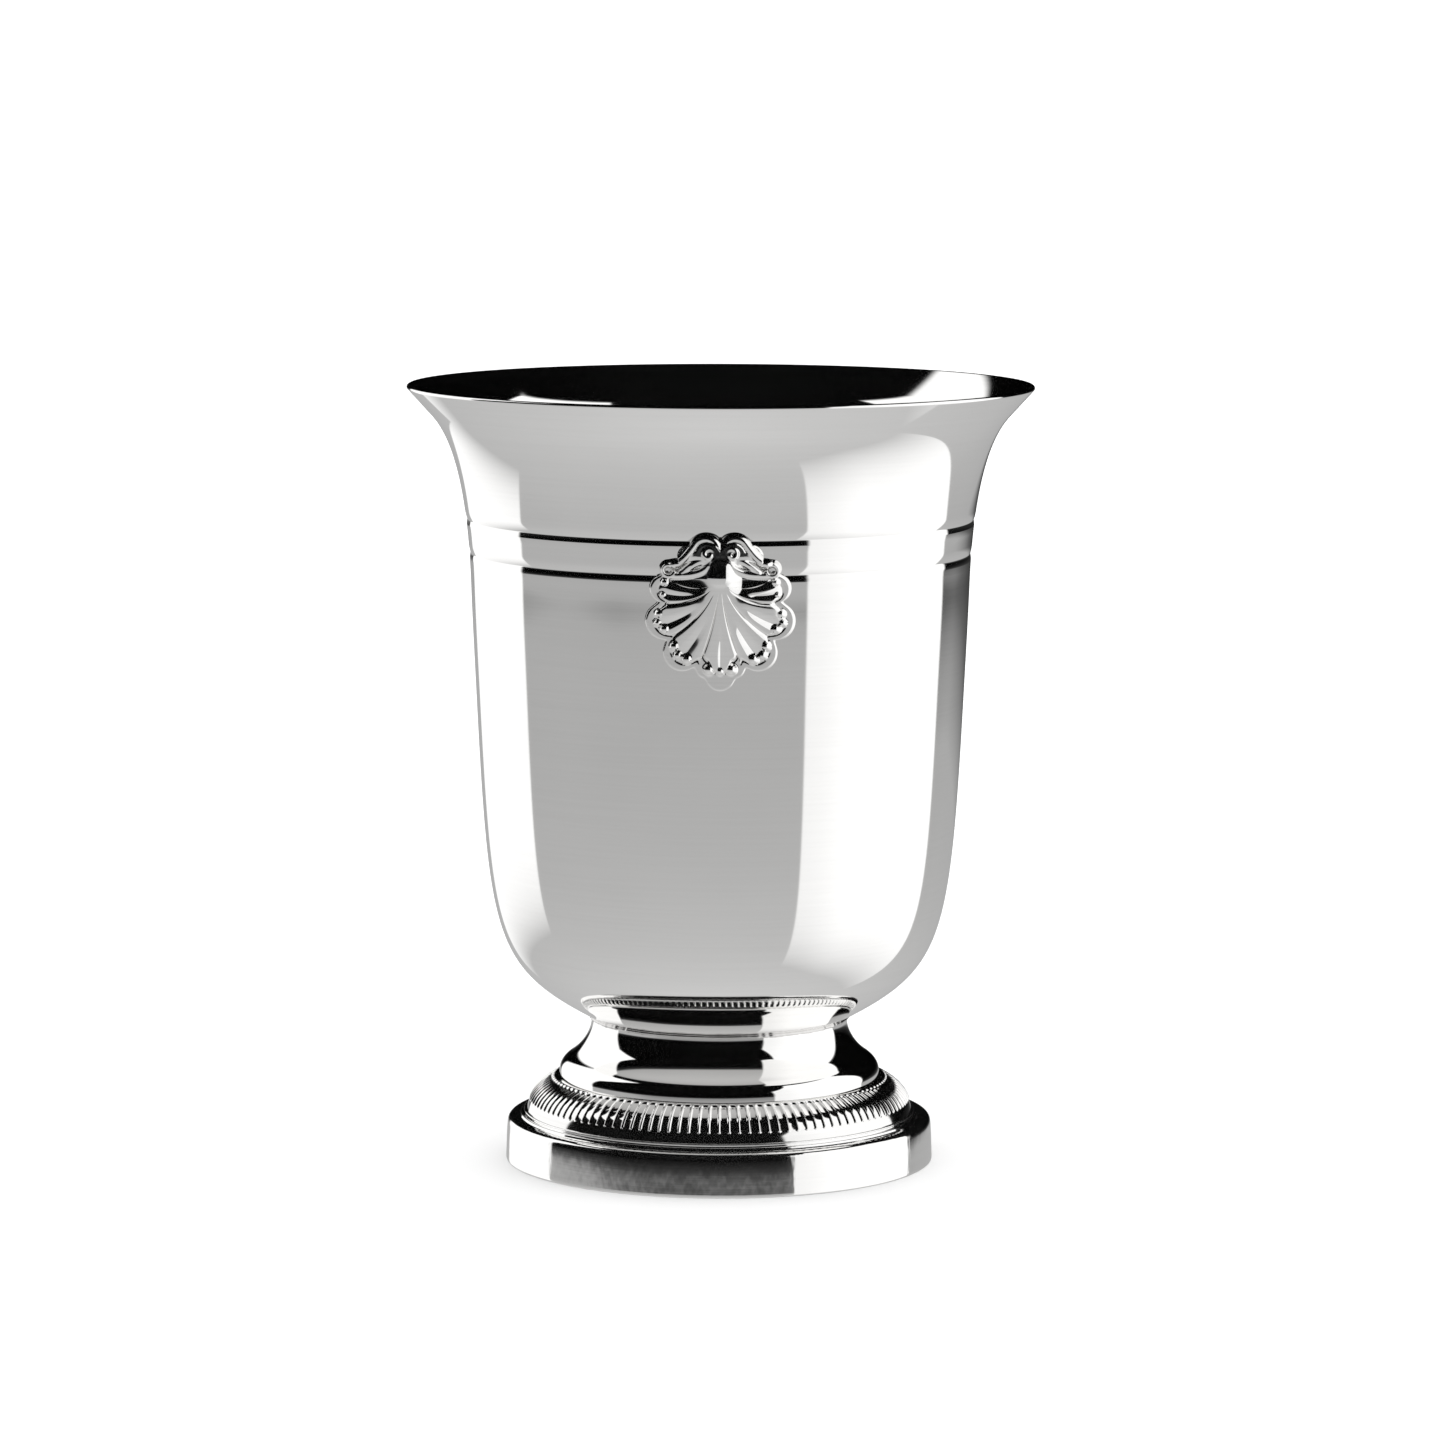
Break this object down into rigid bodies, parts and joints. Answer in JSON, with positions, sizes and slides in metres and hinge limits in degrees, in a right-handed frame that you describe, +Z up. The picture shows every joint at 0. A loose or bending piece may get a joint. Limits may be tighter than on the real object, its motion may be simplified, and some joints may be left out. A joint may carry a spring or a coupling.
{
  "type": "champagne bucket",
  "caption": "Silver champagne bucket: tall flared bowl with a scallop shell front and back, on a hollow pedestal foot with a ribbed ring and round plinth.",
  "frame": {"origin": "centre of the flat face the plinth rests on, on the axis of the bucket", "axes": "+Z up along the axis to the rim, -Y towards the front shell, X across"},
  "size_m": [0.2, 0.2, 0.25],
  "materials": {
    "polished_silver": "mirror-polished silver plate with faint polishing lines",
    "cast_silver": "cast and polished silver plate, slightly darker in the recesses",
    "solder": "dull silver solder",
    "brass": "plain machined brass, hidden inside the foot",
    "fixing_steel": "plain steel, hidden inside the foot"
  },
  "bodies": {
    "root": {"bowl": "polished_silver", "front_shell": "cast_silver", "rear_shell": "cast_silver", "front_shell_solder": "solder", "rear_shell_solder": "solder", "neck_solder_bead": "solder", "pedestal": "polished_silver", "gadroon_ring": "cast_silver", "ledge_solder": "solder", "plinth": "polished_silver", "plinth_solder": "solder", "foot_stud": "fixing_steel", "stud_solder": "solder", "bridge_bar": "brass", "lock_washer": "fixing_steel", "foot_nut": "brass"}
  },
  "joints": []
}
